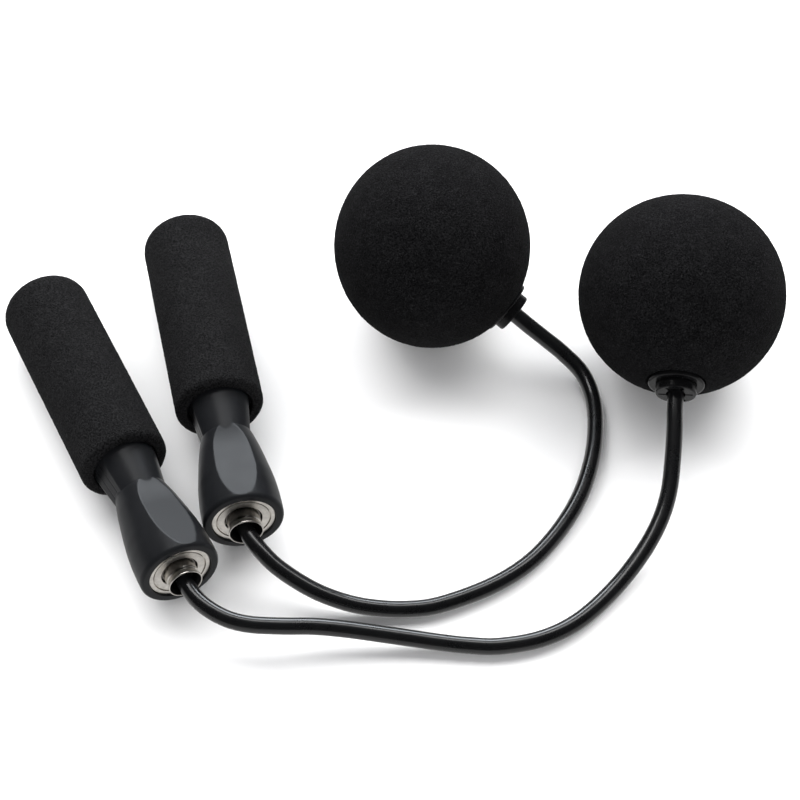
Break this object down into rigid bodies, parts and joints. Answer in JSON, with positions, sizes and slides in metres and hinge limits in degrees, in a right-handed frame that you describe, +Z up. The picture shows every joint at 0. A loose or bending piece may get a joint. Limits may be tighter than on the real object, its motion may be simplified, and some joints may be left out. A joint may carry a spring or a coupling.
{
  "type": "cordless jump rope",
  "caption": "Cordless jump rope: foam-covered handles with ball-bearing noses, each with a short glossy cord ending in a black foam ball.",
  "frame": {"origin": "on the ground, under the middle of the pair of handles and balls (the cords left out)", "axes": "+Z up; +X across the picture, from the handles to the balls; +Y away from the viewer, from the noses to the closed ends of the grips"},
  "size_m": [0.2882, 0.1977, 0.0742],
  "materials": {
    "grip_foam": "matte",
    "body_plastic": "satin",
    "bearing_steel": "polished",
    "cage_steel": "satin",
    "cord_vinyl": "gloss",
    "socket_plastic": "satin",
    "ball_foam": "matte",
    "crimp_brass": "satin"
  },
  "bodies": {
    "right_line": {"right_swivel_sleeve": "bearing_steel", "right_bearing_inner_ring": "bearing_steel", "right_sleeve_nut": "bearing_steel", "right_cord_stop": "crimp_brass", "right_cord": "cord_vinyl", "right_socket_cap": "socket_plastic", "right_ball_socket": "socket_plastic", "right_cord_ferrule": "crimp_brass", "right_foam_ball": "ball_foam"},
    "right_handle": {"right_foam_grip": "grip_foam", "right_handle_body": "body_plastic", "right_end_plug": "body_plastic", "right_bearing_outer_ring": "bearing_steel", "right_bearing_front_shield": "bearing_steel", "right_bearing_rear_shield": "bearing_steel"},
    "right_cage": {"right_bearing_cage": "cage_steel", "right_bearing_ball_1": "bearing_steel", "right_bearing_ball_2": "bearing_steel", "right_bearing_ball_3": "bearing_steel", "right_bearing_ball_4": "bearing_steel", "right_bearing_ball_5": "bearing_steel", "right_bearing_ball_6": "bearing_steel", "right_bearing_ball_7": "bearing_steel"},
    "left_line": {"left_swivel_sleeve": "bearing_steel", "left_bearing_inner_ring": "bearing_steel", "left_sleeve_nut": "bearing_steel", "left_cord_stop": "crimp_brass", "left_cord": "cord_vinyl", "left_socket_cap": "socket_plastic", "left_ball_socket": "socket_plastic", "left_cord_ferrule": "crimp_brass", "left_foam_ball": "ball_foam"},
    "left_handle": {"left_foam_grip": "grip_foam", "left_handle_body": "body_plastic", "left_end_plug": "body_plastic", "left_bearing_outer_ring": "bearing_steel", "left_bearing_front_shield": "bearing_steel", "left_bearing_rear_shield": "bearing_steel"},
    "left_cage": {"left_bearing_cage": "cage_steel", "left_bearing_ball_1": "bearing_steel", "left_bearing_ball_2": "bearing_steel", "left_bearing_ball_3": "bearing_steel", "left_bearing_ball_4": "bearing_steel", "left_bearing_ball_5": "bearing_steel", "left_bearing_ball_6": "bearing_steel", "left_bearing_ball_7": "bearing_steel"}
  },
  "joints": [
    {"name": "left_lift", "type": "slide", "parent": "right_line", "child": "left_line", "axis": [0, 0, 1], "range_m": [0, 0.3]},
    {"name": "left_spin", "type": "hinge", "parent": "left_line", "child": "left_handle", "pos_m": [-0.072, -0.0827, 0.0161], "axis": [0.4226, -0.9063, 0], "continuous": true},
    {"name": "left_cage_spin", "type": "hinge", "parent": "left_line", "child": "left_cage", "pos_m": [-0.072, -0.0827, 0.0161], "axis": [0.4226, -0.9063, 0], "continuous": true},
    {"name": "right_spin", "type": "hinge", "parent": "right_line", "child": "right_handle", "pos_m": [-0.051, -0.0602, 0.0161], "axis": [0.2028, -0.9792, 0], "continuous": true},
    {"name": "right_cage_spin", "type": "hinge", "parent": "right_line", "child": "right_cage", "pos_m": [-0.051, -0.0602, 0.0161], "axis": [0.2028, -0.9792, 0], "continuous": true}
  ],
  "couplings": [
    {"joint": "left_cage_spin", "follows": "left_spin", "ratio": 0.5962},
    {"joint": "right_cage_spin", "follows": "right_spin", "ratio": 0.5962}
  ]
}
